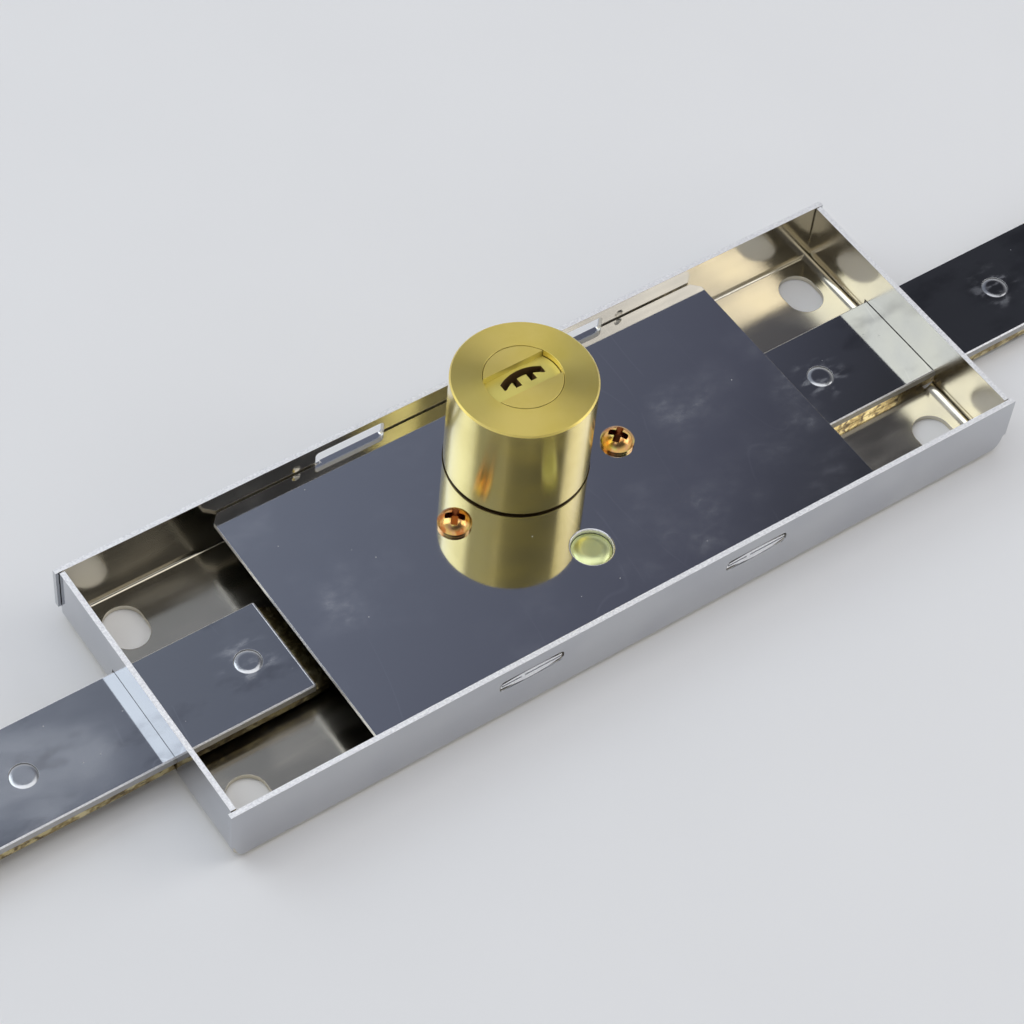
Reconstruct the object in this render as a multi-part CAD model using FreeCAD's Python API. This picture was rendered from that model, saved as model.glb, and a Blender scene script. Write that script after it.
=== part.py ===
"""Roller shutter lock: a sheet steel case with a key cylinder in its middle and two flat bars.

Turning the key turns a pinion between two racks, so both bars slide in or out together.
Millimetres. The origin is the middle of the case's back, +X runs along the bars and +Z
points out of the cover towards the key.
"""
import FreeCAD, Part
import math
import os

# Case tray, bent up from one sheet
case_length = 199.2
case_width = 70.0
sheet = 1.2
end_bend = 3.4
side_bend = 2.0
wall_corner = 5.5
seam_gap = 0.3
rim_height = 5.2
wall_overhang = 0.8
fixing_end_inset = 9.9
fixing_side_inset = 10.4
fixing_slot_width = 9.0
fixing_slot_length = 11.4

# Cover plate and the tabs that hold it in the long walls
cover_half_length = 64.3
cover_gap = 0.3
cover_clip = 2.0
tab_x = 29.0
tab_length = 14.8
tab_clearance = 0.2
back_tab_reach = 0.5
back_tab_play = 1.3
back_slot_headroom = 3.2
back_slot_corner = 1.0
front_tab_play = 0.6
front_slot_corner = 1.2
stake_spread = 2.8
stake_end_low = 1.4
stake_end_high = 2.3
stake_depth = 0.5
stake_groove = 0.4
stake_groove_rise = 1.7
stake_web_offset = -2.6
stake_web_width = 0.8
dimple_x = 42.5
dimple_radius = 1.3
dimple_depth = 0.5
dimple_rise = 1.4

# Key cylinder, with a flange and two ears under the cover
cylinder_radius = 15.85
cylinder_rise = 26.6
cylinder_edge = 0.35
cylinder_foot_edge = 0.15
cylinder_hole_gap = 0.15
neck_depth = 0.6
neck_rise = 0.6
flange_reach = 2.5
flange_thickness = 2.2
flange_wall_gap = 2.7
ear_reach = 5.45
ear_drop = 7.85
ear_radius = 5.0

# Plug that the key turns, set a little behind the cylinder's axis
plug_offset = 0.45
plug_radius = 7.5
plug_head_step = 1.0
plug_head_depth = 3.0
plug_head_play = 0.15
plug_play = 0.05
plug_edge = 0.06
channel_width = 7.0
channel_offset = 0.35
channel_depth = 1.8
keyway_x = 0.6
keyway_top = 3.3
keyway_arch_radius = 9.7
keyway_half_width = 5.2
keyway_thickness = 1.75
ward_width = 1.5
ward_spread = 1.9
ward_depth = 2.1
keyway_depth = 27.0
tail_square = 6.5
tail_play = 0.05
plug_end_gap = 0.6

# Retaining clip behind the cylinder
clip_thickness = 0.7
clip_side_play = 0.05
clip_rise = 0.15
clip_reach = 1.7
clip_groove_depth = 1.2
clip_opening = 4.5

# Pin stacks, from the keyway outwards
pin_count = 5
first_pin_depth = 6.4
last_pin_depth = 24.0
pin_radius = 1.3
pin_play = 0.05
pin_nose_radius = 0.8
pin_nose_length = 1.3
pin_ledge = 4.2
shear_gap = 0.05
driver_length = 2.5
spring_wall = 0.35
spring_play = 0.1
chamber_plug_radius = 1.7
chamber_plug_length = 2.0
press_gap = 0.02

# Screws that hold the cylinder to the cover
screw_radius = 2.0
screw_hole_gap = 0.25
screw_head_radius = 3.75
screw_head_height = 3.0
screw_head_edge = 0.8
screw_tip_below = 0.5
screw_cross_width = 1.5
screw_cross_length = 5.2
screw_cross_depth = 1.9
left_screw_turn = 50.0
right_screw_turn = 38.0

# Pinion and rack teeth
module = 1.25
tooth_count = 12
pressure_angle = math.radians(25)
root_factor = 1.25
backlash = 0.16
key_turn = math.pi

# Bars: each a bright plate riveted on a zinc plated strip with the rack
bar_width = 24.6
bar_plate = 2.0
rack_thickness = 2.2
strip_inset = 0.2
slide_gap = 0.1
rack_gap = 0.3
bar_tip = 215.0
bar_end_gap = 2.2
bar_corner = 2.5
bar_edge = 0.3
bar_end_roll = 0.6
bar_hole_inset = 12.0
bar_hole_radius = 3.25
window_gap = 0.5
window_top_gap = 0.2
rivet_radius = 3.0
first_rivet_x = 75.2
rivet_pitch = 51.8
rivet_count = 3
rivet_roll_width = 0.9
rivet_roll_depth = 0.2
rack_end = 17.0
rack_corner = 2.0
neck_end = 52.0
crank_outer = 60.0
crank_margin = 7.7
crank_corner = 4.0
wall_gap = 0.3

# Guides in the case
post_distance = 28.25
post_radius = 4.45
post_drop = 0.4
post_roll_width = 2.3
post_roll_depth = 0.7
post_collar_radius = 6.5
post_collar_height = 1.2
post_shank_radius = 2.5
post_hole_gap = 0.15
post_roll_share = 0.3
bush_wall = 1.45
bush_collar_reach = 0.8
bush_collar = 0.2
journal_radius = 3.5
journal_play = 0.05
journal_lift = 0.2
pinion_lift = 0.1
pinion_rise = 0.2
pinion_web = 0.3
tail_end_gap = 0.1
keeper_length = 16.0
keeper_reach = 9.8
keeper_height = 6.0

# Gear sizes worked out from the teeth
pitch_radius = module * tooth_count / 2
travel = pitch_radius * key_turn
tooth_pitch = math.pi * module
tooth_thickness = tooth_pitch / 2 - backlash / 2
addendum = module
dedendum = module * root_factor
base_radius = pitch_radius * math.cos(pressure_angle)
tip_radius = pitch_radius + addendum
root_radius = pitch_radius - dedendum
tooth_reach = math.sqrt(tip_radius ** 2 - (pitch_radius - addendum) ** 2)

# Levels, stacked up from the case's floor
low_rack_z = sheet + slide_gap
low_plate_z = low_rack_z + rack_thickness
high_rack_z = low_plate_z + rack_gap
high_plate_z = high_rack_z + rack_thickness
bush_top = sheet + bush_collar
pinion_bottom = bush_top + pinion_lift
pinion_top = high_plate_z + pinion_rise
plug_bottom = pinion_top + plug_end_gap
groove_bottom = plug_bottom + clip_thickness
groove_top = groove_bottom + clip_thickness + 2 * clip_side_play
flange_bottom = groove_top + clip_rise - clip_side_play
cover_bottom = flange_bottom + flange_thickness
cover_top = cover_bottom + sheet
case_height = cover_top + rim_height
neck_top = cover_top + neck_rise
cylinder_top = cover_top + cylinder_rise
channel_floor = cylinder_top - channel_depth
post_top = cover_top - post_drop

# Places and radii across the case
wall_y = case_width / 2 - sheet
fixing_x = case_length / 2 - fixing_end_inset
fixing_y = case_width / 2 - fixing_side_inset
neck_radius = cylinder_radius - neck_depth
flange_radius = cylinder_radius + flange_reach
cylinder_y = wall_y - flange_wall_gap - flange_radius
ear_x = cylinder_radius + ear_reach
ear_y = cylinder_y - ear_drop
post_y = cylinder_y - post_distance
plug_y = cylinder_y + plug_offset
body_bore = plug_radius + plug_play
plug_head_radius = plug_radius + plug_head_step
head_bore = plug_head_radius + plug_head_play
clip_groove_radius = plug_radius - clip_groove_depth
clip_outer_radius = plug_radius + clip_reach
chamber_end = cylinder_radius - plug_offset - chamber_plug_length
pin_pitch = (last_pin_depth - first_pin_depth) / (pin_count - 1)
bush_bore = journal_radius + journal_play
bush_radius = bush_bore + bush_wall
bar_plate_end = rack_end + 2 * travel + bar_end_gap
bar_hole_x = bar_tip - bar_hole_inset
crank_inner = tip_radius + travel + crank_margin


def vector(x, y, z=0.0):
    return FreeCAD.Vector(x, y, z)


def block(x_low, x_high, y_low, y_high, z_low, z_high):
    size = (x_high - x_low, y_high - y_low, z_high - z_low)
    return Part.makeBox(*size, vector(x_low, y_low, z_low))


def round_bar(x, y, radius, z_low, z_high):
    return Part.makeCylinder(radius, z_high - z_low, vector(x, y, z_low))


def outline(corners, z):
    """Closed wire through (x, y, radius) corners, each rounded where its radius isn't 0."""
    edges = []
    ends = []
    for index, (x, y, radius) in enumerate(corners):
        here = vector(x, y, z)
        before = corners[index - 1]
        after = corners[(index + 1) % len(corners)]
        to_before = (vector(before[0], before[1], z) - here).normalize()
        to_after = (vector(after[0], after[1], z) - here).normalize()
        if radius == 0:
            ends.append((here, here))
            continue
        half_angle = to_before.getAngle(to_after) / 2
        reach = radius / math.tan(half_angle)
        bisector = (to_before + to_after).normalize()
        middle = here + bisector * (radius / math.sin(half_angle) - radius)
        start = here + to_before * reach
        finish = here + to_after * reach
        edges.append(Part.Arc(start, middle, finish).toShape())
        ends.append((start, finish))
    for index, (_, finish) in enumerate(ends):
        following = ends[(index + 1) % len(ends)][0]
        if finish.distanceToPoint(following) > 1e-6:
            edges.append(Part.makeLine(finish, following))
    return Part.Wire(Part.__sortEdges__(edges))


def plate(corners, z_low, thickness):
    face = Part.Face(outline(corners, z_low))
    return face.extrude(vector(0, 0, thickness))


def rectangle(x_low, x_high, y_low, y_high, radius=0.0):
    return [
        (x_low, y_low, radius),
        (x_high, y_low, radius),
        (x_high, y_high, radius),
        (x_low, y_high, radius),
    ]


def long_slot(x, y, width, length, z_low, thickness):
    """Round ended slot whose length runs along Y."""
    straight = (length - width) / 2
    ends = [round_bar(x, y + side * straight, width / 2, z_low, z_low + thickness) for side in (-1, 1)]
    middle = block(x - width / 2, x + width / 2, y - straight, y + straight, z_low, z_low + thickness)
    return middle.fuse(ends).removeSplitter()


def revolved(points, x, y):
    """Solid of revolution about the vertical line through x, y from (radius, height) points."""
    corners = [vector(x + radius, y, height) for radius, height in points]
    face = Part.Face(Part.makePolygon(corners + [corners[0]]))
    return face.revolve(vector(x, y, 0), vector(0, 0, 1), 360)


def rolled_bar(x, y, radius, z_low, z_high, width, depth):
    """Round bar whose upper edge rolls off by depth over width, tangent to its flat top."""
    curve = (width ** 2 + depth ** 2) / (2 * depth)
    half_angle = math.asin(width / curve) / 2
    flat = radius - width
    side_top = vector(x + radius, y, z_high - depth)
    middle = vector(
        x + flat + curve * math.sin(half_angle),
        y,
        z_high - curve + curve * math.cos(half_angle),
    )
    flat_edge = vector(x + flat, y, z_high)
    roll = Part.Arc(side_top, middle, flat_edge).toShape()
    rest = Part.makePolygon(
        [flat_edge, vector(x, y, z_high), vector(x, y, z_low), vector(x + radius, y, z_low), side_top]
    )
    face = Part.Face(Part.Wire(Part.__sortEdges__([roll] + rest.Edges)))
    return face.revolve(vector(x, y, 0), vector(0, 0, 1), 360)


def trough(half_width, depth_half, floor, top, radius):
    """Block with its two lower edges along Y rounded, as a sheet bent up at both ends."""
    corners = [
        (-half_width, top, 0),
        (-half_width, floor, radius),
        (half_width, floor, radius),
        (half_width, top, 0),
    ]
    face = Part.Face(outline(corners, -depth_half))
    solid = face.extrude(vector(0, 0, 2 * depth_half))
    solid.rotate(vector(0, 0, 0), vector(1, 0, 0), 90)
    return solid


def tray_block(half_length, half_width, floor, top, end_radius, side_radius):
    along = trough(half_length, half_width, floor, top, end_radius)
    across = trough(half_width, half_length, floor, top, side_radius)
    across.rotate(vector(0, 0, 0), vector(0, 0, 1), 90)
    return along.common(across)


def wall_slot(x, y_wall, length, z_low, height, corner):
    """Window through a long wall, cut across the sheet."""
    corners = rectangle(x - length / 2, x + length / 2, z_low, z_low + height, corner)
    face = Part.Face(outline(corners, 0))
    solid = face.extrude(vector(0, 0, 2 * sheet))
    solid.rotate(vector(0, 0, 0), vector(1, 0, 0), 90)
    solid.translate(vector(0, y_wall + sheet, 0))
    return solid


def back_slot(x):
    """Open slot behind a cover tab, higher than the tab so that the cover can be tipped in."""
    length = tab_length + 2 * back_tab_play
    height = sheet + tab_clearance + back_slot_headroom
    return wall_slot(x, wall_y + sheet, length, cover_bottom - tab_clearance, height, back_slot_corner)


def front_slot(x):
    """Slot that a spread tab fills."""
    length = tab_length + 2 * front_tab_play
    height = stake_spread + 2 * tab_clearance
    return wall_slot(x, -wall_y, length, cover_bottom - tab_clearance, height, front_slot_corner)


def bar_window(side, z_low, z_high):
    """Opening in one end wall and its bend for a bar to slide through."""
    near = case_length / 2 - end_bend
    far = case_length / 2 + sheet
    half = bar_width / 2 + window_gap
    x_low, x_high = sorted((side * near, side * far))
    return block(x_low, x_high, -half, half, z_low, z_high)


def corner_seam(side_x, side_y):
    """Slit where an end wall meets a long wall, above the bend."""
    x_low, x_high = sorted((side_x * (case_length / 2 - sheet), side_x * (case_length / 2 + sheet)))
    y_low, y_high = sorted((side_y * (wall_y - seam_gap), side_y * wall_y))
    return block(x_low, x_high, y_low, y_high, wall_corner, case_height + sheet)


def lower_corner(side_x, side_y):
    """What is left out of a long wall's lower corner to round it off."""
    middle = case_length / 2 - wall_corner
    x_low, x_high = sorted((side_x * middle, side_x * (case_length / 2 + sheet)))
    y_low, y_high = sorted((side_y * wall_y, side_y * (case_width / 2 + sheet)))
    corner = block(x_low, x_high, y_low, y_high, -sheet, wall_corner)
    round_off = Part.makeCylinder(
        wall_corner,
        y_high - y_low,
        vector(side_x * middle, y_low, wall_corner),
        vector(0, 1, 0),
    )
    return corner.cut(round_off)


def wall_end(side_x, side_y):
    """End of a long wall, which runs a little past the end wall above its rounded corner."""
    x_low, x_high = sorted((side_x * (case_length / 2 - sheet), side_x * (case_length / 2 + wall_overhang)))
    y_low, y_high = sorted((side_y * wall_y, side_y * case_width / 2))
    return block(x_low, x_high, y_low, y_high, wall_corner, case_height)


def make_case_tray():
    outer = tray_block(case_length / 2, case_width / 2, 0, case_height, end_bend, side_bend)
    inner = tray_block(
        case_length / 2 - sheet,
        wall_y,
        sheet,
        case_height + sheet,
        end_bend - sheet,
        side_bend - sheet,
    )
    cuts = [
        bar_window(-1, high_rack_z - slide_gap, high_plate_z + bar_plate + window_top_gap),
        bar_window(1, -sheet, low_plate_z + bar_plate + window_top_gap),
        round_bar(0, plug_y, bush_radius + press_gap, -sheet, 2 * sheet),
        round_bar(0, post_y, post_shank_radius + press_gap, -sheet, 2 * sheet),
    ]
    ends = []
    for side in (-1, 1):
        cuts.append(back_slot(side * tab_x))
        cuts.append(front_slot(side * tab_x))
        dimple_centre = vector(side * dimple_x, wall_y + dimple_depth - dimple_radius, cover_top + dimple_rise)
        cuts.append(Part.makeSphere(dimple_radius, dimple_centre))
        for end in (-1, 1):
            ends.append(wall_end(side, end))
            cuts.append(corner_seam(side, end))
            cuts.append(lower_corner(side, end))
            slot = long_slot(
                side * fixing_x,
                end * fixing_y,
                fixing_slot_width,
                fixing_slot_length,
                -sheet,
                3 * sheet,
            )
            cuts.append(slot)
    return outer.cut(inner).fuse(ends).cut(cuts).removeSplitter()


def back_tab(x):
    reach = wall_y + back_tab_reach
    return block(x - tab_length / 2, x + tab_length / 2, 0, reach, cover_bottom, cover_top)


def front_tab(x):
    """Tab whose end is split along its length with a chisel, so that it spreads in its slot."""
    half = tab_length / 2
    tongue = block(x - half, x + half, -case_width / 2 + stake_depth, 0, cover_bottom, cover_top)
    low = cover_bottom
    start = vector(x - half, 0, low + stake_end_low)
    finish = vector(x + half, 0, low + stake_end_low)
    bottom = Part.Arc(start, vector(x, 0, low), finish).toShape()
    top_start = vector(x - half, 0, low + stake_end_high)
    top_finish = vector(x + half, 0, low + stake_end_high)
    top = Part.Arc(top_start, vector(x, 0, low + stake_spread), top_finish).toShape()
    sides = [Part.makeLine(start, top_start), Part.makeLine(finish, top_finish)]
    face = Part.Face(Part.Wire(Part.__sortEdges__([bottom, top] + sides)))
    spread = face.extrude(vector(0, stake_depth + sheet / 2, 0))
    spread.translate(vector(0, -case_width / 2, 0))
    groove_low = low + stake_groove_rise - stake_groove / 2
    groove_end = -case_width / 2 + stake_depth
    groove = block(x - half, x + half, -case_width / 2, groove_end, groove_low, groove_low + stake_groove)
    web_x = x + stake_web_offset
    web = block(web_x, web_x + stake_web_width, -case_width / 2, 0, 0, case_height)
    return tongue.fuse(spread.cut(groove.cut(web)))


def roll_post_hole(cover):
    """Round the upper edge of the hole over the post."""
    centre = vector(0, post_y, cover_top)
    rims = [
        edge
        for edge in cover.Edges
        if isinstance(edge.Curve, Part.Circle) and edge.Curve.Center.distanceToPoint(centre) < 1e-3
    ]
    return cover.makeFillet(post_roll_share * sheet, rims)


def make_cover_plate():
    half = cover_half_length
    edge = wall_y - cover_gap
    corners = [
        (-half, -edge, 0),
        (half, -edge, 0),
        (half, edge - cover_clip, 0),
        (half - cover_clip, edge, 0),
        (-half + cover_clip, edge, 0),
        (-half, edge - cover_clip, 0),
    ]
    body = plate(corners, cover_bottom, sheet)
    tabs = []
    for side in (-1, 1):
        tabs.append(back_tab(side * tab_x))
        tabs.append(front_tab(side * tab_x))
    holes = [
        round_bar(0, cylinder_y, cylinder_radius + cylinder_hole_gap, 0, case_height),
        round_bar(0, post_y, post_radius + post_hole_gap, 0, case_height),
    ]
    for side in (-1, 1):
        holes.append(round_bar(side * ear_x, ear_y, screw_radius + screw_hole_gap, 0, case_height))
    cover = body.fuse(tabs).cut(holes).removeSplitter()
    return roll_post_hole(cover)


def pin_height(index):
    return cylinder_top - first_pin_depth - index * pin_pitch


def radial_bar(radius, near, far, height):
    """Round bar along +Y, from one distance from the plug's axis to another."""
    return Part.makeCylinder(radius, far - near, vector(0, plug_y + near, height), vector(0, 1, 0))


def plug_bore():
    return revolved(
        [
            (0, flange_bottom),
            (body_bore, flange_bottom),
            (body_bore, cylinder_top - plug_head_depth),
            (head_bore, cylinder_top - plug_head_depth),
            (head_bore, cylinder_top - plug_edge),
            (head_bore + plug_edge, cylinder_top),
            (0, cylinder_top),
        ],
        0,
        plug_y,
    )


def make_cylinder_body():
    """Barrel that stands just clear of the cover on a thinner neck, with its flange and ears below."""
    edge = cylinder_edge
    barrel = revolved(
        [
            (0, flange_bottom),
            (neck_radius, flange_bottom),
            (neck_radius, neck_top),
            (cylinder_radius - cylinder_foot_edge, neck_top),
            (cylinder_radius, neck_top + cylinder_foot_edge),
            (cylinder_radius, cylinder_top - edge),
            (cylinder_radius - edge, cylinder_top),
            (0, cylinder_top),
        ],
        0,
        cylinder_y,
    )
    flange = round_bar(0, cylinder_y, flange_radius, flange_bottom, cover_bottom)
    ear_end = ear_x + ear_radius
    ears = plate(
        rectangle(-ear_end, ear_end, ear_y - ear_radius, ear_y + ear_radius, ear_radius),
        flange_bottom,
        flange_thickness,
    )
    cuts = [plug_bore()]
    for side in (-1, 1):
        cuts.append(round_bar(side * ear_x, ear_y, screw_radius + press_gap, 0, case_height))
    for index in range(pin_count):
        cuts.append(radial_bar(pin_radius + pin_play, 0, chamber_end, pin_height(index)))
        plug_hole = chamber_plug_radius + press_gap
        cuts.append(radial_bar(plug_hole, chamber_end, 2 * cylinder_radius, pin_height(index)))
    return barrel.fuse([flange, ears]).cut(cuts).removeSplitter()


def make_cylinder_screws():
    """Two pan head screws with cross recesses, driven through the cover into the ears."""
    top = cover_top + screw_head_height
    rise = screw_head_height - screw_head_edge
    crown_radius = (screw_head_radius ** 2 + rise ** 2) / (2 * rise)
    screws = []
    for side, turn in ((-1, left_screw_turn), (1, right_screw_turn)):
        x = side * ear_x
        crown = Part.makeSphere(crown_radius, vector(x, ear_y, top - crown_radius))
        head = round_bar(x, ear_y, screw_head_radius, cover_top, top).common(crown)
        shank = round_bar(x, ear_y, screw_radius, flange_bottom - screw_tip_below, cover_top)
        screws.append(head.cut(cross_recess(x, top, turn)).fuse(shank))
    return Part.makeCompound(screws)


def cross_recess(x, top, turn):
    half_width = screw_cross_width / 2
    half_length = screw_cross_length / 2
    low = top - screw_cross_depth
    arms = block(x - half_width, x + half_width, ear_y - half_length, ear_y + half_length, low, top)
    arms = arms.fuse(block(x - half_length, x + half_length, ear_y - half_width, ear_y + half_width, low, top))
    arms.rotate(vector(x, ear_y, low), vector(0, 0, 1), turn)
    taper = Part.makeCone(half_length / 2, half_length, screw_cross_depth, vector(x, ear_y, low))
    return arms.common(taper)


def keyway():
    """Crescent slot with two wards, as wide as the key, cut down from the channel's floor."""
    low = channel_floor - keyway_depth
    centre_y = plug_y + keyway_top - keyway_arch_radius
    outer = round_bar(keyway_x, centre_y, keyway_arch_radius, low, channel_floor)
    inner = round_bar(keyway_x, centre_y, keyway_arch_radius - keyway_thickness, low, channel_floor)
    left = keyway_x - keyway_half_width
    right = keyway_x + keyway_half_width
    band = outer.cut(inner).common(block(left, right, plug_y, plug_y + plug_radius, low, channel_floor))
    ward_top = plug_y + keyway_top - keyway_thickness / 2
    ward_low = ward_top - ward_depth - keyway_thickness / 2
    wards = []
    for side in (-1, 1):
        x = keyway_x + side * ward_spread
        half = ward_width / 2
        wards.append(block(x - half, x + half, ward_low, ward_top, low, channel_floor))
    return band.fuse(wards).removeSplitter()


def make_lock_plug():
    turned = revolved(
        [
            (0, plug_bottom),
            (plug_radius, plug_bottom),
            (plug_radius, groove_bottom),
            (clip_groove_radius, groove_bottom),
            (clip_groove_radius, groove_top),
            (plug_radius, groove_top),
            (plug_radius, cylinder_top - plug_head_depth + plug_play),
            (plug_head_radius, cylinder_top - plug_head_depth + plug_play),
            (plug_head_radius, cylinder_top - plug_edge),
            (plug_head_radius - plug_edge, cylinder_top),
            (0, cylinder_top),
        ],
        0,
        plug_y,
    )
    half = tail_square / 2
    tail_low = pinion_bottom + pinion_web + tail_end_gap
    tail = block(-half, half, plug_y - half, plug_y + half, tail_low, plug_bottom)
    channel_y = plug_y + channel_offset
    channel = block(
        -cylinder_radius,
        cylinder_radius,
        channel_y - channel_width / 2,
        channel_y + channel_width / 2,
        channel_floor,
        cylinder_top,
    )
    cuts = [channel, keyway()]
    for index in range(pin_count):
        cuts.append(radial_bar(pin_radius + pin_play, pin_ledge, cylinder_radius, pin_height(index)))
        cuts.append(radial_bar(pin_nose_radius + pin_play, keyway_thickness, pin_ledge, pin_height(index)))
    return turned.fuse(tail).cut(cuts).removeSplitter()


def make_plug_clip():
    low = groove_bottom + clip_side_play
    ring = round_bar(0, plug_y, clip_outer_radius, low, low + clip_thickness)
    bore = round_bar(0, plug_y, clip_groove_radius + clip_side_play, low, low + clip_thickness)
    half = clip_opening / 2
    opening = block(-half, half, plug_y, plug_y + cylinder_radius, low, low + clip_thickness)
    return ring.cut([bore, opening])


def shear_end(radius, offset):
    """Distance from the axis of a flat pin end whose rim lies at the given radius."""
    return math.sqrt(radius ** 2 - offset ** 2)


def make_key_pin(index):
    height = pin_height(index)
    outer = shear_end(plug_radius - shear_gap / 2, pin_radius)
    body = radial_bar(pin_radius, pin_ledge + pin_play, outer, height)
    nose_start = pin_ledge + pin_play - pin_nose_length
    nose = Part.makeCone(
        pin_nose_radius / 2,
        pin_nose_radius,
        pin_nose_length,
        vector(0, plug_y + nose_start, height),
        vector(0, 1, 0),
    )
    return body.fuse(nose)


def make_driver_pin(index):
    start = body_bore + shear_gap
    return radial_bar(pin_radius, start, start + driver_length, pin_height(index))


def make_pin_spring(index):
    """Coiled spring between a driver pin and its chamber's plug, as the sleeve that it fills."""
    start = body_bore + shear_gap + driver_length
    outer = pin_radius - spring_play
    sleeve = radial_bar(outer, start, chamber_end, pin_height(index))
    return sleeve.cut(radial_bar(outer - spring_wall, start, chamber_end, pin_height(index)))


def make_chamber_plugs():
    """Round plugs that close the pin chambers, turned flush with the cylinder."""
    barrel = round_bar(0, cylinder_y, cylinder_radius, 0, cylinder_top)
    plugs = []
    for index in range(pin_count):
        blank = radial_bar(chamber_plug_radius, chamber_end, 2 * cylinder_radius, pin_height(index))
        plugs.append(blank.common(barrel))
    return Part.makeCompound(plugs)


def involute_angle(radius):
    """Angle that an involute of the pinion's base circle has turned through at a radius."""
    slope = math.acos(base_radius / radius)
    return math.tan(slope) - slope


def flank_point(tooth_angle, side, radius):
    half_tooth = tooth_thickness / 2 / pitch_radius
    angle = tooth_angle + side * (half_tooth + involute_angle(pitch_radius) - involute_angle(radius))
    return vector(radius * math.cos(angle), plug_y + radius * math.sin(angle), pinion_bottom)


def pinion_outline():
    """Involute teeth with radial feet, the first of them pointing along +Y at the lower rack."""
    centre = vector(0, plug_y, pinion_bottom)
    edges = []
    for tooth in range(tooth_count):
        angle = math.pi / 2 + tooth * 2 * math.pi / tooth_count
        feet = []
        for side in (-1, 1):
            low = flank_point(angle, side, base_radius)
            middle = flank_point(angle, side, (base_radius + tip_radius) / 2)
            high = flank_point(angle, side, tip_radius)
            foot = centre + (low - centre).normalize() * root_radius
            edges.append(Part.makeLine(foot, low))
            edges.append(Part.Arc(low, middle, high).toShape())
            feet.append((foot, high))
        crown = centre + vector(tip_radius * math.cos(angle), tip_radius * math.sin(angle))
        edges.append(Part.Arc(feet[0][1], crown, feet[1][1]).toShape())
        gap_angle = angle + math.pi / tooth_count
        valley = centre + vector(root_radius * math.cos(gap_angle), root_radius * math.sin(gap_angle))
        next_low = flank_point(angle + 2 * math.pi / tooth_count, -1, base_radius)
        next_foot = centre + (next_low - centre).normalize() * root_radius
        edges.append(Part.Arc(feet[1][0], valley, next_foot).toShape())
    return Part.Wire(Part.__sortEdges__(edges))


def make_drive_pinion():
    gear = Part.Face(pinion_outline()).extrude(vector(0, 0, pinion_top - pinion_bottom))
    journal = round_bar(0, plug_y, journal_radius, journal_lift, pinion_bottom)
    half = tail_square / 2 + tail_play
    socket_floor = pinion_bottom + pinion_web
    socket = block(-half, half, plug_y - half, plug_y + half, socket_floor, pinion_top)
    return gear.fuse(journal).cut(socket).removeSplitter()


def make_pinion_bush():
    return revolved(
        [
            (bush_bore, 0),
            (bush_radius, 0),
            (bush_radius, sheet),
            (bush_radius + bush_collar_reach, sheet),
            (bush_radius + bush_collar_reach, bush_top),
            (bush_bore, bush_top),
        ],
        0,
        plug_y,
    )


def make_guide_post():
    """Post riveted in the floor: its groove guides the upper rack and its head fills the cover's hole."""
    groove_low = high_rack_z - slide_gap
    groove_high = high_plate_z + slide_gap
    shank = round_bar(0, post_y, post_shank_radius, 0, sheet)
    collars = [
        round_bar(0, post_y, post_collar_radius, sheet, groove_low),
        round_bar(0, post_y, post_collar_radius, groove_high, groove_high + post_collar_height),
    ]
    stem = rolled_bar(0, post_y, post_radius, sheet, post_top, post_roll_width, post_roll_depth)
    return stem.fuse(collars + [shank]).removeSplitter()


def make_rack_keeper():
    """Angle on the back wall that keeps the lower rack down on the case's floor."""
    low = low_plate_z + slide_gap
    x_low = -keeper_length / 2
    leg = block(x_low, -x_low, wall_y - sheet, wall_y, low, low + keeper_height)
    foot = block(x_low, -x_low, wall_y - keeper_reach, wall_y, low, low + sheet)
    return leg.fuse(foot).removeSplitter()


def rack_teeth(pitch_y, towards, direction):
    """Corner points of a rack's teeth, in order from its inner end to its outer end.

    towards is the side of the rack that the teeth point to, and direction the side of the
    case that the rack's bar leaves by. The pinion points a tooth along +Y, and with an odd
    number of teeth a gap along -Y, so there the rack has a tooth in its middle.
    """
    meets_tooth = towards == -1 or tooth_count % 2 == 0
    first_offset = 0.5 if meets_tooth else 0.0
    tip_half = tooth_thickness / 2 - addendum * math.tan(pressure_angle)
    root_half = tooth_thickness / 2 + dedendum * math.tan(pressure_angle)
    tip_y = pitch_y + towards * addendum
    root_y = pitch_y - towards * dedendum
    inner_teeth = math.ceil(tooth_reach / tooth_pitch)
    outer_teeth = math.ceil((travel + tooth_reach) / tooth_pitch)
    points = []
    for index in range(-inner_teeth, outer_teeth):
        middle = direction * (index + first_offset) * tooth_pitch
        points.append((middle - direction * root_half, root_y, 0))
        points.append((middle - direction * tip_half, tip_y, 0))
        points.append((middle + direction * tip_half, tip_y, 0))
        points.append((middle + direction * root_half, root_y, 0))
    return points


def rivet_places(side):
    return [side * (first_rivet_x + index * rivet_pitch) for index in range(rivet_count)]


def bar_cuts(side, z_low, z_high):
    """Holes for the rivets and for the bolt that joins a longer bar."""
    cuts = [round_bar(side * bar_hole_x, 0, bar_hole_radius, z_low, z_high)]
    for x in rivet_places(side):
        cuts.append(round_bar(x, 0, rivet_radius + press_gap, z_low, z_high))
    return cuts


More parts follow.
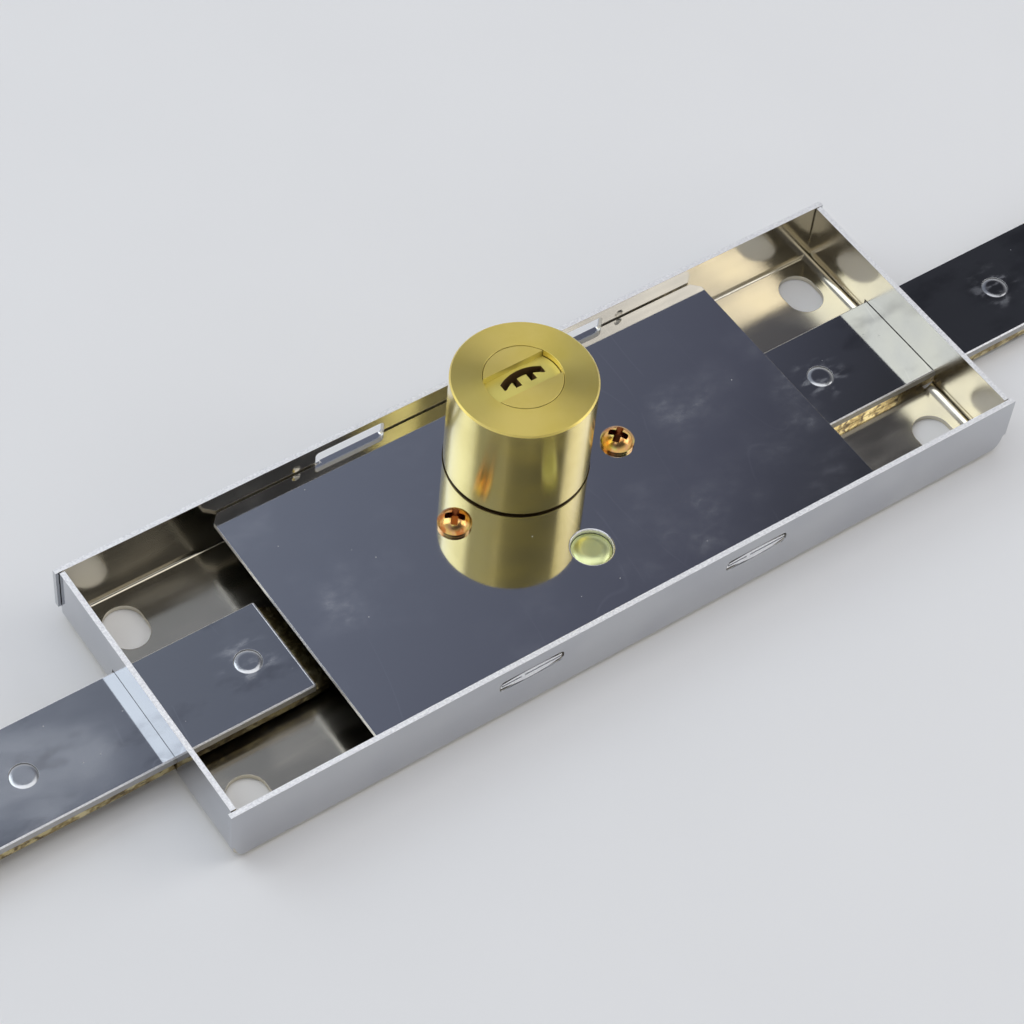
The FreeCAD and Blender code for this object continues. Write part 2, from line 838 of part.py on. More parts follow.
def make_left_rack():
    """Upper strip: runs in front of the pinion, with its front edge in the post's groove."""
    half = bar_width / 2 - strip_inset
    front = post_y + post_radius + slide_gap
    pitch_y = plug_y - pitch_radius
    back = pitch_y - dedendum
    teeth = rack_teeth(pitch_y, 1, -1)
    corners = [
        (-bar_tip, -half, bar_corner),
        (-bar_plate_end, -half, 0),
        (-neck_end, front, 0),
        (rack_end, front, rack_corner),
        (rack_end, back, 0),
    ]
    corners += teeth
    corners += [
        (-neck_end, back, rack_corner),
        (-bar_plate_end, half, 0),
        (-bar_tip, half, bar_corner),
    ]
    strip = plate(corners, high_rack_z, rack_thickness)
    return strip.cut(bar_cuts(-1, high_rack_z, high_plate_z))


def make_right_rack():
    """Lower strip: cranked round the back of the pinion, along the case's back wall."""
    half = bar_width / 2 - strip_inset
    rear = wall_y - wall_gap
    pitch_y = plug_y + pitch_radius
    front = pitch_y + dedendum
    teeth = rack_teeth(pitch_y, -1, 1)
    corners = [
        (bar_tip, half, bar_corner),
        (crank_outer, half, rack_corner),
        (crank_outer, rear, crank_corner),
        (-rack_end, rear, rack_corner),
        (-rack_end, front, 0),
    ]
    corners += teeth
    corners += [
        (crank_inner, front, rack_corner),
        (crank_inner, -half, crank_corner),
        (bar_tip, -half, bar_corner),
    ]
    strip = plate(corners, low_rack_z, rack_thickness)
    bevel = side_bend - sheet
    bend_room = Part.Face(
        Part.makePolygon(
            [
                vector(-case_length, rear, low_rack_z),
                vector(-case_length, rear - bevel, low_rack_z),
                vector(-case_length, rear, low_rack_z + bevel),
                vector(-case_length, rear, low_rack_z),
            ]
        )
    ).extrude(vector(2 * case_length, 0, 0))
    return strip.cut(bar_cuts(1, low_rack_z, low_plate_z) + [bend_room])


def make_bar_plate(side, z_low):
    """Bright plate on top of a strip, with its upper long edges broken and its inner end rolled off."""
    half = bar_width / 2
    tip_corners = [
        (side * bar_tip, -half, bar_corner),
        (side * bar_tip, half, bar_corner),
    ]
    end_corners = [
        (side * bar_plate_end, half, 0),
        (side * bar_plate_end, -half, 0),
    ]
    solid = plate(tip_corners + end_corners, z_low, bar_plate)
    z_high = z_low + bar_plate
    upper = [edge for edge in solid.Edges if edge.BoundBox.ZMin > z_high - 1e-3]
    end_x = side * bar_plate_end
    inner_end = [edge for edge in upper if abs(edge.CenterOfMass.x - end_x) < 1e-3]
    solid = solid.makeFillet(bar_end_roll, inner_end)
    long_edges = [
        edge
        for edge in solid.Edges
        if edge.BoundBox.ZMin > z_high - 1e-3 and edge.Length > bar_width
    ]
    solid = solid.makeChamfer(bar_edge, long_edges)
    return solid.cut(bar_cuts(side, z_low, z_high))


def make_bar_rivets(side, z_low):
    """Flush rivets through a plate and its strip, their heads rolled off round the rim."""
    z_high = z_low + rack_thickness + bar_plate
    rivets = []
    for x in rivet_places(side):
        rivet = rolled_bar(x, 0, rivet_radius, z_low, z_high, rivet_roll_width, rivet_roll_depth)
        rivets.append(rivet)
    return Part.makeCompound(rivets)


def all_parts():
    parts = {
        "case_tray": make_case_tray(),
        "cover_plate": make_cover_plate(),
        "cylinder_body": make_cylinder_body(),
        "cylinder_screws": make_cylinder_screws(),
        "chamber_plugs": make_chamber_plugs(),
        "guide_post": make_guide_post(),
        "pinion_bush": make_pinion_bush(),
        "rack_keeper": make_rack_keeper(),
        "lock_plug": make_lock_plug(),
        "plug_clip": make_plug_clip(),
        "drive_pinion": make_drive_pinion(),
        "left_rack": make_left_rack(),
        "right_rack": make_right_rack(),
        "left_bar_plate": make_bar_plate(-1, high_plate_z),
        "right_bar_plate": make_bar_plate(1, low_plate_z),
        "left_bar_rivets": make_bar_rivets(-1, high_rack_z),
        "right_bar_rivets": make_bar_rivets(1, low_rack_z),
    }
    for index in range(pin_count):
        parts[f"key_pin_{index + 1}"] = make_key_pin(index)
        parts[f"driver_pin_{index + 1}"] = make_driver_pin(index)
        parts[f"pin_spring_{index + 1}"] = make_pin_spring(index)
    return parts


os.makedirs("parts", exist_ok=True)
for name, shape in all_parts().items():
    shape.exportStep(f"parts/{name}.step")
    state = "valid" if shape.isValid() else "NOT VALID"
    print(f"{name}: {len(shape.Solids)} solid, {shape.Volume:.1f} mm3, {state}")
print(f"bar travel {travel:.3f} mm for a turn of {math.degrees(key_turn):.0f} degrees")
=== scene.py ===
"""Looks of the roller shutter lock: metal finishes, stage, lamps and the photograph's camera."""
import math

import bpy
from mathutils import Matrix, Vector


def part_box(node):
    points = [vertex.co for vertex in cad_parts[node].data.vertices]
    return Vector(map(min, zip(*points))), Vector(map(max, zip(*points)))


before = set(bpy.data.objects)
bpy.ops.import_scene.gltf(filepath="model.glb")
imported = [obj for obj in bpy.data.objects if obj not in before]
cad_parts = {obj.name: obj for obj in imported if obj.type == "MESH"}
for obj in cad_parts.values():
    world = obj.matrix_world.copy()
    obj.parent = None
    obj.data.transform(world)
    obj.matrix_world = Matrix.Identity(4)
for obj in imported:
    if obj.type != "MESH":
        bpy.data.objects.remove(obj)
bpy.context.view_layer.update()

MM = 0.001

# Places on the lock, in millimetres
END_WALL_X = 99.6
NECK_TOP = 12.4
CHANNEL_FLOOR = 36.6
FIRST_RIVET_X = 75.2
RIVET_PITCH = 51.8
RIVET_RADIUS = 3.0
ROLLED_LENGTH = 0.5
CROSS_RADIUS = 2.8
CROSS_DEPTH = 1.2

# The two colours between which a pattern varies
BRIGHT_EDGE = ((0.82, 0.82, 0.84), (0.98, 0.98, 0.99))
DULL_EDGE = ((0.36, 0.36, 0.37), (0.52, 0.52, 0.53))
# The case's inside, painted paler and warmer than its outside as painted light
TRAY_INSIDE_LIT = ((0.68, 0.63, 0.51), (0.64, 0.60, 0.51))
TRAY_OUTSIDE = ((0.52, 0.53, 0.56), (0.57, 0.58, 0.60))
FLOOR_PAINT = ((0.80, 0.80, 0.805), (0.83, 0.83, 0.835))

COVER_COLOUR = (0.55, 0.56, 0.59)
BAR_COLOUR = (0.46, 0.47, 0.49)
BAR_SIDE_COLOUR = (0.46, 0.45, 0.44)
# Paler colour of hand marks and haze; on the bars' haze outside the case it is partly painted light
HAND_MARK_AND_LIGHT_COLOUR = (0.84, 0.86, 0.90)
STAIN_COLOUR = (0.16, 0.16, 0.18)
SCRATCH_COLOUR = (0.90, 0.90, 0.92)
DUST_COLOUR = (0.42, 0.42, 0.43)
# Painted shade for the barrel's neck in the gap round the cover's hole
NECK_SHADE_COLOUR = (0.18, 0.13, 0.06)
MILLED_COLOUR = (0.80, 0.70, 0.20)
# Painted shade for the walls down in the plug's keyway
KEYWAY_SHADE_COLOUR = (0.26, 0.16, 0.07)
# Painted shade for the screws' cross recesses
CROSS_SHADE_COLOUR = (0.20, 0.06, 0.02)
PIN_COLOUR = (0.80, 0.60, 0.26)
PINION_COLOUR = (0.34, 0.34, 0.35)
SPRING_COLOUR = (0.42, 0.43, 0.45)

# Three tints of the broad clouds, then the tint of the fine ones over them
SCREW_TINTS = ((0.62, 0.22, 0.06), (0.84, 0.50, 0.17), (0.78, 0.68, 0.22), (0.82, 0.46, 0.20))
STRIP_TINTS = ((0.64, 0.54, 0.28), (0.32, 0.24, 0.10), (0.76, 0.66, 0.38), (0.14, 0.10, 0.05))
POST_TINTS = ((0.62, 0.68, 0.32), (0.68, 0.73, 0.40), (0.64, 0.70, 0.36), (0.66, 0.70, 0.34))

FULLY_LACQUERED = 1.0
LACQUER_ROUGHNESS = 0.18


class Finish:
    """One surface's node material, which is metal unless it is set otherwise.

    Its patterns are measured in millimetres on the piece itself. flatness is 1 on faces that lie
    level and 0 on upright ones.
    """

    def __init__(self, name):
        self.material = bpy.data.materials.new(name)
        self.material.use_nodes = True
        self.tree = self.material.node_tree
        self.tree.nodes.clear()
        output = self.add("ShaderNodeOutputMaterial")
        self.surface = self.add("ShaderNodeBsdfPrincipled")
        self.tree.links.new(self.surface.outputs["BSDF"], output.inputs["Surface"])
        self.surface.inputs["Metallic"].default_value = 1.0
        where = self.add("ShaderNodeTexCoord")
        self.place = self.scaled(where.outputs["Object"], (1 / MM,) * 3)
        self.x, self.y, self.z = self.parts(self.place)
        self.flatness = self.calc("ABSOLUTE", self.parts(where.outputs["Normal"])[2])

    def add(self, kind, **settings):
        made = self.tree.nodes.new(kind)
        for key, value in settings.items():
            setattr(made, key, value)
        return made

    def feed(self, socket, value):
        """Link an output to a socket, or set a plain number or colour on it."""
        if isinstance(value, bpy.types.NodeSocket):
            self.tree.links.new(value, socket)
        else:
            socket.default_value = value

    def parts(self, vector):
        made = self.add("ShaderNodeSeparateXYZ")
        self.tree.links.new(vector, made.inputs[0])
        return made.outputs

    def scaled(self, vector, scale, turn=0.0):
        made = self.add("ShaderNodeMapping")
        made.inputs["Scale"].default_value = scale
        made.inputs["Rotation"].default_value = (0, 0, turn)
        self.tree.links.new(vector, made.inputs["Vector"])
        return made.outputs[0]

    def calc(self, operation, *values, kind="ShaderNodeMath"):
        made = self.add(kind, operation=operation)
        for socket, value in zip(made.inputs, values):
            self.feed(socket, value)
        return made.outputs[0]

    def vector_calc(self, operation, *values):
        return self.calc(operation, *values, kind="ShaderNodeVectorMath")

    def plus(self, first, second):
        return self.calc("ADD", first, second)

    def minus(self, first, second):
        return self.calc("SUBTRACT", first, second)

    def times(self, first, second):
        return self.calc("MULTIPLY", first, second)

    def most(self, first, *others):
        """The greatest of some patterns."""
        for other in others:
            first = self.calc("MAXIMUM", first, other)
        return first

    def distance(self, along, across):
        """Distance from a centre, from the two offsets to it."""
        squares = self.plus(self.times(along, along), self.times(across, across))
        return self.calc("SQRT", squares)

    def span(self, value, low, high, start=0.0, end=1.0):
        """value from low to high turned smoothly into start to end, and no further."""
        made = self.add("ShaderNodeMapRange", interpolation_type="SMOOTHSTEP")
        for socket, number in zip(made.inputs, (value, low, high, start, end)):
            self.feed(socket, number)
        return made.outputs[0]

    def noise(self, scale, detail=2.0, stretch=(1, 1, 1), turn=0.0):
        """Cloudy pattern from 0 to 1 with scale features to a millimetre."""
        made = self.add("ShaderNodeTexNoise")
        made.inputs["Scale"].default_value = scale
        made.inputs["Detail"].default_value = detail
        self.tree.links.new(self.scaled(self.place, stretch, turn), made.inputs["Vector"])
        return made.outputs[0]

    def lines(self, along, scale, detail=3.0):
        """Random lines to a millimetre along one measure, such as a height or a radius."""
        made = self.add("ShaderNodeTexNoise", noise_dimensions="1D")
        made.inputs["Scale"].default_value = scale
        made.inputs["Detail"].default_value = detail
        self.tree.links.new(along, made.inputs["W"])
        return made.outputs[0]

    def scratches(self, turns, width):
        """Long hair scratches: level lines of a stretched cloud, broken up into pieces."""
        total = None
        for turn in turns:
            cloud = self.noise(0.035, detail=1.0, stretch=(1.0, 0.25, 1.0), turn=turn)
            line = self.span(self.calc("ABSOLUTE", self.minus(cloud, 0.5)), width, 0.0)
            broken = self.span(self.noise(0.06, detail=1.0, turn=turn + 1.0), 0.52, 0.60)
            mark = self.times(line, broken)
            total = mark if total is None else self.most(total, mark)
        return total

    def specks(self, scale, size, share):
        """Round specks of one size in a share of the cells of a random grid."""
        cells = self.add("ShaderNodeTexVoronoi")
        cells.inputs["Scale"].default_value = scale
        self.tree.links.new(self.place, cells.inputs["Vector"])
        channels = self.add("ShaderNodeSeparateColor")
        self.tree.links.new(cells.outputs["Color"], channels.inputs[0])
        spot = self.span(cells.outputs["Distance"], size * scale, size * scale * 0.5)
        chosen = self.calc("LESS_THAN", channels.outputs[0], share)
        return self.times(spot, chosen)

    def blend(self, factor, first, second):
        """Colour from first to second."""
        made = self.add("ShaderNodeMix", data_type="RGBA")
        self.feed(made.inputs[0], factor)
        for socket, value in ((made.inputs[6], first), (made.inputs[7], second)):
            self.feed(socket, (*value, 1.0) if isinstance(value, tuple) else value)
        return made.outputs[2]

    def choose(self, factor, first, second):
        """Pattern from first to second."""
        made = self.add("ShaderNodeMix", data_type="FLOAT")
        self.feed(made.inputs[0], factor)
        self.feed(made.inputs[2], first)
        self.feed(made.inputs[3], second)
        return made.outputs[0]

    def bumps(self, heights, edge):
        """Relief from (pattern, height in millimetres) pairs, over edges rounded by edge."""
        rounded = self.add("ShaderNodeBevel", samples=4)
        rounded.inputs["Radius"].default_value = edge * MM
        normal = rounded.outputs[0]
        for pattern, height in heights:
            made = self.add("ShaderNodeBump")
            made.inputs["Distance"].default_value = height * MM
            self.tree.links.new(pattern, made.inputs["Height"])
            self.tree.links.new(normal, made.inputs["Normal"])
            normal = made.outputs[0]
        self.tree.links.new(normal, self.surface.inputs["Normal"])

    def brushed_round(self, axis_y, amount):
        """Stretch reflections across marks that run round the upright axis through x 0, axis_y."""
        geometry = self.add("ShaderNodeNewGeometry")
        axis, upward = (0, axis_y * MM, 0), (0, 0, 1)
        from_axis = self.vector_calc("SUBTRACT", geometry.outputs["Position"], axis)
        around = self.vector_calc("CROSS_PRODUCT", upward, from_axis)
        across = self.vector_calc("CROSS_PRODUCT", around, geometry.outputs["Normal"])
        self.feed(self.surface.inputs["Tangent"], self.vector_calc("NORMALIZE", across))
        self.surface.inputs["Anisotropic"].default_value = amount

    def set(self, **values):
        for key, value in values.items():
            name = {"colour": "Base Color", "roughness": "Roughness", "metal": "Metallic"}[key]
            self.feed(self.surface.inputs[name], value)

    def put_on(self, *names):
        for name in names:
            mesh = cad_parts[name].data
            mesh.materials.clear()
            mesh.materials.append(self.material)


def mirror_plating(
    name, colour, dust_share, stains=0.0, edges=BRIGHT_EDGE, sides=None, end_highlight=None, wear_and_light=None
):
    """Mirror plating with rough cut edges, faint hand marks, stains, hair scratches and dust.

    sides is the colour of upright sides where it isn't that of the edges. The two functions add a
    painted highlight, as bright as the edges, at a piece's end, and marks of the piece's own,
    partly painted light.
    """
    finish = Finish(name)
    cut = finish.span(finish.flatness, 0.88, 0.76)
    cut_grain = finish.noise(2.2, detail=3.0)
    cut_colour = finish.blend(finish.span(cut_grain, 0.35, 0.65), *edges)
    if sides:
        cut_colour = finish.blend(finish.span(finish.flatness, 0.5, 0.3), cut_colour, sides)
    # Painted highlight: a band at a piece's end gets the cut edges' pale colour and roughness.
    if end_highlight:
        cut = finish.most(cut, end_highlight(finish))

    broad = finish.span(finish.noise(0.05, detail=5.0), 0.48, 0.84)
    smudges = finish.noise(0.3, detail=4.0, stretch=(1.0, 1.6, 1.0), turn=0.6)
    marks = finish.times(broad, finish.span(smudges, 0.3, 0.7, 0.35, 1.0))
    # A piece's own marks; on the bars these carry painted light outside the case and painted shade
    # inside it.
    if wear_and_light:
        marks = finish.most(marks, wear_and_light(finish))
    dust = finish.specks(0.32, 0.17, dust_share)
    scratches = finish.scratches(turns=(0.3, 1.3, 2.4), width=0.0025)

    worn = finish.blend(finish.times(marks, 0.30), colour, HAND_MARK_AND_LIGHT_COLOUR)
    if stains:
        clouds = finish.noise(0.06, detail=4.0, stretch=(1.0, 1.7, 1.0), turn=0.8)
        worn = finish.blend(finish.span(clouds, 0.50, 0.70, 0.0, stains), worn, STAIN_COLOUR)
    worn = finish.blend(finish.times(scratches, 0.14), worn, SCRATCH_COLOUR)
    worn = finish.blend(dust, worn, DUST_COLOUR)

    hazy = finish.span(marks, 0, 1, 0.05, 0.24)
    finish.set(
        colour=finish.blend(cut, worn, cut_colour),
        roughness=finish.most(hazy, finish.times(dust, 0.7), finish.times(cut, 0.55)),
        metal=finish.minus(1.0, finish.most(dust, finish.times(marks, 0.06))),
    )
    ripple = finish.noise(0.04, detail=1.0)
    finish.bumps([(ripple, 0.025), (finish.times(cut, cut_grain), 0.12)], edge=0.12)
    return finish


def handled_and_lit_bar(finish):
    """Oily haze along a bar, and polish smeared round its flush rivets; the haze grows past the
    left end wall, partly as painted light outside the case.
    """
    half_pitch = RIVET_PITCH / 2
    along = finish.plus(finish.calc("ABSOLUTE", finish.x), half_pitch - FIRST_RIVET_X)
    from_rivet = finish.minus(finish.calc("FLOORED_MODULO", along, RIVET_PITCH), half_pitch)
    reach = finish.distance(from_rivet, finish.y)
    near = finish.span(reach, 3 * RIVET_RADIUS, RIVET_RADIUS)
    clouds = finish.noise(0.22, detail=4.0, stretch=(1.0, 2.2, 1.0), turn=0.5)
    rim = finish.times(
        finish.span(reach, RIVET_RADIUS - 1.4, RIVET_RADIUS - 0.6),
        finish.span(reach, RIVET_RADIUS + 0.4, RIVET_RADIUS),
    )
    smear = finish.most(finish.times(near, finish.span(clouds, 0.46, 0.66)), finish.times(rim, 0.8))
    drifts = finish.noise(0.03, detail=5.0, stretch=(0.6, 1.4, 1.0), turn=0.3)
    haze = finish.span(drifts, 0.40, 0.68, 0.1, 0.8)
    # Painted light: the haze and its paler colour grow past the left end wall, painting the bar
    # outside the case lit and inside it shaded by the wall.
    painted_light_from, painted_light_to = -96.0, -112.0
    haze_and_painted_light = finish.span(finish.x, painted_light_from, painted_light_to, 0.15, 1.3)
    return finish.most(smear, finish.times(haze, haze_and_painted_light))


def rolled_end_highlight(finish):
    """Painted highlight on the bar plates' inner ends, which are rolled over and not sheared: a
    band painted as pale and rough as the cut edges.
    """
    end = -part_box("left_bar_plate")[1].x / MM + ROLLED_LENGTH
    return finish.span(finish.calc("ABSOLUTE", finish.x), end + 0.1, end)


def tray_plating(name):
    """Thinner plating on the case: mirror outside, hazy inside, with bright rough rims. The inside
    is painted paler and warmer than the outside, as painted light.
    """
    finish = Finish(name)
    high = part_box("case_tray")[1]
    top, side_wall_y = high.z / MM, high.y / MM
    rim = finish.span(finish.z, top - 0.08, top - 0.04)
    grain = finish.noise(2.0, detail=3.0)
    beside = finish.calc("GREATER_THAN", finish.calc("ABSOLUTE", finish.y), side_wall_y - 0.3)
    beyond = finish.calc("GREATER_THAN", finish.calc("ABSOLUTE", finish.x), END_WALL_X - 0.3)
    outside = finish.most(beside, beyond)
    clouds = finish.noise(0.06, detail=1.5, stretch=(1.0, 1.6, 1.0), turn=0.2)
    haze = finish.span(clouds, 0.3, 0.7)
    streaks = finish.span(finish.noise(0.5, stretch=(0.06, 1.0, 1.0)), 0.4, 0.7)
    # Painted light: the inside of the case is painted paler and warmer than the outside.
    colour = finish.blend(
        outside, finish.blend(haze, *TRAY_INSIDE_LIT), finish.blend(haze, *TRAY_OUTSIDE)
    )
    rim_colour = finish.blend(finish.span(grain, 0.35, 0.65), *BRIGHT_EDGE)
    inside_rough = finish.plus(finish.span(haze, 0, 1, 0.13, 0.21), finish.times(streaks, 0.03))
    outside_rough = finish.span(haze, 0, 1, 0.06, 0.13)
    rough = finish.choose(outside, inside_rough, outside_rough)
    finish.set(
        colour=finish.blend(rim, colour, rim_colour),
        roughness=finish.most(rough, finish.times(rim, 0.55)),
    )
    ripple = finish.noise(0.05, detail=1.0)
    finish.bumps([(ripple, 0.03), (finish.times(rim, grain), 0.15)], edge=0.15)
    return finish


def turned_brass(
    name, face_colour, side_colour, side_rough, round_marks=0.8, lacquer=0.0, shade=None
):
    """Brass turned on a lathe: its marks run round the axis and spread reflections across them.

    shade is a function that changes the colour and roughness of some places.
    """
    finish = Finish(name)
    low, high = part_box("lock_plug")
    axis_y = (low.y + high.y) / 2 / MM
    face = finish.span(finish.flatness, 0.5, 0.8)
    radius = finish.distance(finish.x, finish.minus(finish.y, axis_y))
    marks = finish.choose(face, finish.lines(finish.z, 5.0), finish.lines(radius, 5.0))
    tone = finish.blend(face, side_colour, face_colour)
    deeper = finish.add("ShaderNodeHueSaturation")
    deeper.inputs["Value"].default_value = 0.92
    deeper.inputs["Saturation"].default_value = 1.06
    finish.feed(deeper.inputs["Color"], tone)
    tarnish = finish.span(finish.noise(0.10, detail=4.0), 0.35, 0.75)
    tone = finish.blend(tarnish, tone, deeper.outputs[0])
    rough = finish.plus(
        finish.span(face, 0, 1, side_rough, 0.35), finish.span(tarnish, 0, 1, 0, 0.04)
    )
    if shade:
        tone, rough = shade(finish, tone, rough)
    finish.set(colour=tone, roughness=rough)
    finish.bumps([(marks, 0.002)], edge=0.05)
    finish.brushed_round(axis_y, round_marks)
    finish.surface.inputs["Coat Weight"].default_value = lacquer
    finish.surface.inputs["Coat Roughness"].default_value = LACQUER_ROUGHNESS
    return finish


def barrel_shades(finish, tone, rough):
    """Painted shade: the barrel's neck, down in the gap round the cover's hole, is painted dark
    brown.
    """
    neck = finish.span(finish.z, NECK_TOP + 0.12, NECK_TOP)
    return finish.blend(neck, tone, NECK_SHADE_COLOUR), rough


def plug_shades(finish, tone, rough):
    """An evenly dull face, a duller and greener milled channel, and painted shade in the keyway,
    whose walls are painted dark brown.
    """
    face = finish.span(finish.z, CHANNEL_FLOOR + 0.6, CHANNEL_FLOOR + 0.8)
    milled = finish.span(finish.z, CHANNEL_FLOOR + 0.4, CHANNEL_FLOOR + 0.2)
    keyway = finish.span(finish.z, CHANNEL_FLOOR - 0.05, CHANNEL_FLOOR - 0.25)
    tone = finish.blend(milled, tone, MILLED_COLOUR)
    # Painted shade: the keyway below the channel floor is painted dark brown.
    tone = finish.blend(keyway, tone, KEYWAY_SHADE_COLOUR)
    rough = finish.plus(rough, finish.times(face, 0.07))
    return tone, finish.plus(rough, finish.times(milled, 0.2))


def zinc_finish(name, tints, spread, rough, shade=None):
    """Passivated zinc: interference tints in cloudy patches over a fine grain."""
    finish = Finish(name)
    clouds = finish.noise(spread, detail=3.0)
    fine = finish.noise(spread * 2.6)
    colour = finish.blend(finish.span(clouds, 0.36, 0.50), tints[0], tints[1])
    colour = finish.blend(finish.span(clouds, 0.50, 0.64), colour, tints[2])
    colour = finish.blend(finish.span(fine, 0.50, 0.68), colour, tints[3])
    if shade:
        colour = shade(finish, colour)
    finish.set(colour=colour, roughness=finish.span(fine, 0.2, 0.8, rough * 0.9, rough * 1.1))
    finish.bumps([(finish.noise(1.6), 0.008)], edge=0.08)
    return finish


def shaded_cross(finish, colour):
    """Painted shade: the walls and bottom of either screw's cross recess are painted dark
    red-brown.
    """
    low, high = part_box("cylinder_screws")
    head_radius = (high.y - low.y) / 2 / MM
    off_x = finish.minus(finish.calc("ABSOLUTE", finish.x), high.x / MM - head_radius)
    off_y = finish.minus(finish.y, (low.y + high.y) / 2 / MM)
    within = finish.span(finish.distance(off_x, off_y), CROSS_RADIUS + 0.1, CROSS_RADIUS - 0.1)
    steep = finish.span(finish.flatness, 0.75, 0.55)
    bottom = high.z / MM - CROSS_DEPTH
    deep = finish.span(finish.z, bottom, bottom - 0.3)
    cross_shade = finish.times(within, finish.most(steep, deep))
    return finish.blend(cross_shade, colour, CROSS_SHADE_COLOUR)


def plain_steel(name, colour, rough):
    """Machined or drawn steel, a little uneven."""
    finish = Finish(name)
    grain = finish.noise(1.2, detail=4.0)
    paler = tuple(part * 1.25 for part in colour)
    finish.set(
        colour=finish.blend(grain, colour, paler),
        roughness=finish.span(grain, 0, 1, rough * 0.7, rough * 1.3),
    )
    finish.bumps([(grain, 0.01)], edge=0.08)
    return finish


def dress_lock():
    """Give each piece its finish."""
    pins = [f"{kind}_pin_{number}" for kind in ("key", "driver") for number in range(1, 6)]
    springs = [f"pin_spring_{number}" for number in range(1, 6)]
    tray_plating("sheet_plating").put_on("case_tray")
    mirror_plating("cover_plating", COVER_COLOUR, 0.14).put_on("cover_plate")
    plates = mirror_plating(
        "bar_plating", BAR_COLOUR, 0.32, stains=0.45,
        sides=BAR_SIDE_COLOUR, end_highlight=rolled_end_highlight, wear_and_light=handled_and_lit_bar,
    )
    plates.put_on("left_bar_plate", "right_bar_plate")
    rivets = mirror_plating(
        "rivet_plating", BAR_COLOUR, 0.32, stains=0.45, edges=DULL_EDGE, wear_and_light=handled_and_lit_bar
    )
    rivets.put_on("left_bar_rivets", "right_bar_rivets")
    barrel = turned_brass(
        "barrel_brass", (0.90, 0.72, 0.19), (0.90, 0.73, 0.22), 0.23,
        round_marks=0.85, lacquer=FULLY_LACQUERED, shade=barrel_shades,
    )
    barrel.put_on("cylinder_body", "chamber_plugs")
    plug = turned_brass(
        "plug_brass", (0.87, 0.70, 0.20), (0.80, 0.70, 0.22), 0.42,
        round_marks=0.5, lacquer=FULLY_LACQUERED, shade=plug_shades,
    )
    plug.put_on("lock_plug")
    turned_brass("pin_brass", PIN_COLOUR, PIN_COLOUR, 0.30).put_on("pinion_bush", *pins)
    screws = zinc_finish("screw_zinc", SCREW_TINTS, 0.32, 0.20, shaded_cross)
    screws.put_on("cylinder_screws")
    strips = zinc_finish("strip_zinc", STRIP_TINTS, 0.30, 0.20)
    strips.put_on("left_rack", "right_rack", "rack_keeper")
    zinc_finish("post_zinc", POST_TINTS, 0.12, 0.33).put_on("guide_post")
    plain_steel("pinion_steel", PINION_COLOUR, 0.35).put_on("drive_pinion")
    plain_steel("spring_steel", SPRING_COLOUR, 0.3).put_on("plug_clip", *springs)


def make_floor():
    """Pale floor just under the lock."""
    half, level = 4.0, -0.0001
    signs = ((-1, -1), (1, -1), (1, 1), (-1, 1))
    corners = [(x * half, y * half, level) for x, y in signs]
    mesh = bpy.data.meshes.new("floor")
    mesh.from_pydata(corners, [], [(0, 1, 2, 3)])
    floor = bpy.data.objects.new("floor", mesh)
    bpy.context.scene.collection.objects.link(floor)
    finish = Finish("floor_paint")
    finish.set(metal=0.0, colour=finish.blend(finish.noise(0.02), *FLOOR_PAINT), roughness=0.6)
    mesh.materials.append(finish.material)


def make_studio():
    """A room that is pale round the horizon and dim overhead, darkest away from the window."""
    horizon = (0.80, 0.80, 0.81, 1)
    overhead_shades = (
        (0.0, (0.055, 0.057, 0.068, 1)),
        (0.05, (0.12, 0.125, 0.165, 1)),
        (0.17, (0.21, 0.23, 0.29, 1)),
        (0.30, (0.33, 0.36, 0.42, 1)),
    )
    to_window = (-0.64, 0.77, 0)
    wall_top, ceiling_from = 0.40, 0.68

    world = bpy.data.worlds.new("studio")
    bpy.context.scene.world = world
    world.use_nodes = True
    nodes = world.node_tree.nodes
    links = world.node_tree.links
    where = nodes.new("ShaderNodeTexCoord")
    toward = nodes.new("ShaderNodeVectorMath")
    toward.operation = "DOT_PRODUCT"
    toward.inputs[1].default_value = to_window
    links.new(where.outputs["Generated"], toward.inputs[0])
    overhead = nodes.new("ShaderNodeValToRGB")
    links.new(toward.outputs["Value"], overhead.inputs[0])
    shades = overhead.color_ramp.elements
    shades[0].position, shades[0].color = overhead_shades[0]
    shades[1].position, shades[1].color = overhead_shades[-1]
    for position, colour in overhead_shades[1:-1]:
        shades.new(position).color = colour
    parts = nodes.new("ShaderNodeSeparateXYZ")
    links.new(where.outputs["Generated"], parts.inputs[0])
    height = nodes.new("ShaderNodeMapRange")
    links.new(parts.outputs[2], height.inputs[0])
    height.inputs["From Min"].default_value = wall_top
    height.inputs["From Max"].default_value = ceiling_from
    mix = nodes.new("ShaderNodeMix")
    mix.data_type = "RGBA"
    links.new(height.outputs[0], mix.inputs[0])
    mix.inputs[6].default_value = horizon
    links.new(overhead.outputs[0], mix.inputs[7])
    links.new(mix.outputs[2], nodes["Background"].inputs["Color"])


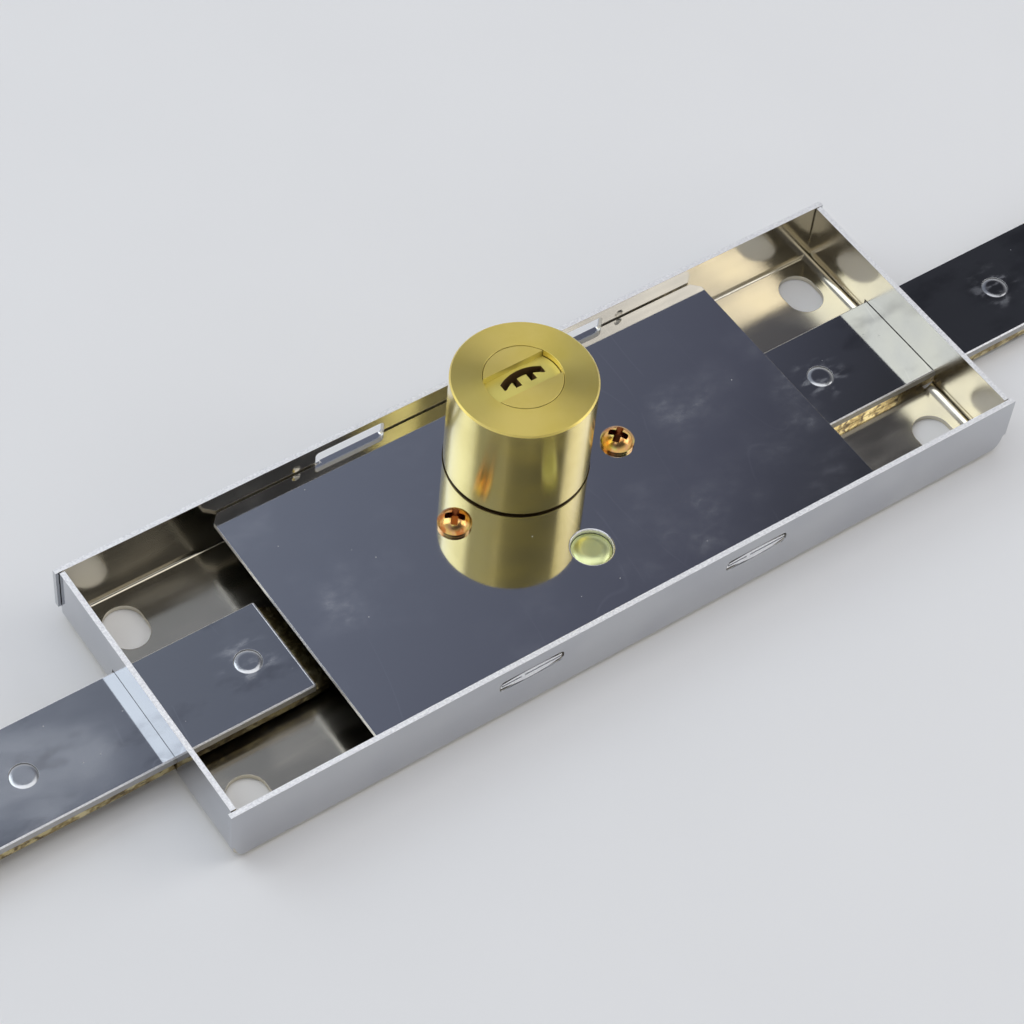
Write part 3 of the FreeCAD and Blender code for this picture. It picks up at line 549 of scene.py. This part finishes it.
def softbox(name, direction, distance, size, brightness, colour):
    """Rectangular soft lamp that faces the lock, as bright as a lit panel of brightness."""
    lamp = bpy.data.lights.new(name, "AREA")
    lamp.shape = "RECTANGLE"
    lamp.size, lamp.size_y = size
    lamp.energy = brightness * math.pi * size[0] * size[1]
    lamp.color = colour
    holder = bpy.data.objects.new(name, lamp)
    bpy.context.scene.collection.objects.link(holder)
    outward = Vector(direction).normalized()
    holder.location = outward * distance
    holder.rotation_euler = outward.to_track_quat("Z", "Y").to_euler()


def make_camera():
    """The photograph's camera, solved from the case's rims and the cylinder's circles."""
    azimuth = math.radians(-39.86)
    elevation = math.radians(52.27)
    roll = math.radians(6.55)
    target = Vector((-10.31, -2.18, 16.80)) * MM
    distance = 618.7 * MM
    frame_pixels = 1024
    focal_pixels = 2942
    middle_x, middle_y = 517.7, 510.3
    back = Vector((
        math.sin(azimuth) * math.cos(elevation),
        -math.cos(azimuth) * math.cos(elevation),
        math.sin(elevation),
    ))
    level_right = Vector((0, 0, 1)).cross(back).normalized()
    level_up = back.cross(level_right)
    right = level_right * math.cos(roll) + level_up * math.sin(roll)
    up = level_up * math.cos(roll) - level_right * math.sin(roll)
    facing = Matrix((right, up, back)).transposed().to_4x4()
    camera = bpy.data.objects.new("camera", bpy.data.cameras.new("camera"))
    bpy.context.scene.collection.objects.link(camera)
    camera.matrix_world = Matrix.Translation(target + back * distance) @ facing
    camera.data.sensor_width = 36
    camera.data.lens = focal_pixels / frame_pixels * camera.data.sensor_width
    camera.data.shift_x = (frame_pixels / 2 - middle_x) / frame_pixels
    camera.data.shift_y = (middle_y - frame_pixels / 2) / frame_pixels
    camera.data.clip_start = 0.01
    bpy.context.scene.camera = camera


dress_lock()
make_floor()
make_studio()
softbox("window", (-0.52, 0.58, 0.80), 1.2, (0.80, 0.65), 1.85, (0.88, 0.95, 1.0))
softbox("side", (0.86, -0.40, 0.80), 1.2, (0.75, 0.60), 2.0, (1.0, 0.98, 0.95))
softbox("top", (0.0, 0.0, 1.0), 1.4, (1.50, 1.02), 1.35, (1.0, 1.0, 1.0))
make_camera()

bpy.context.scene.view_settings.view_transform = "Standard"
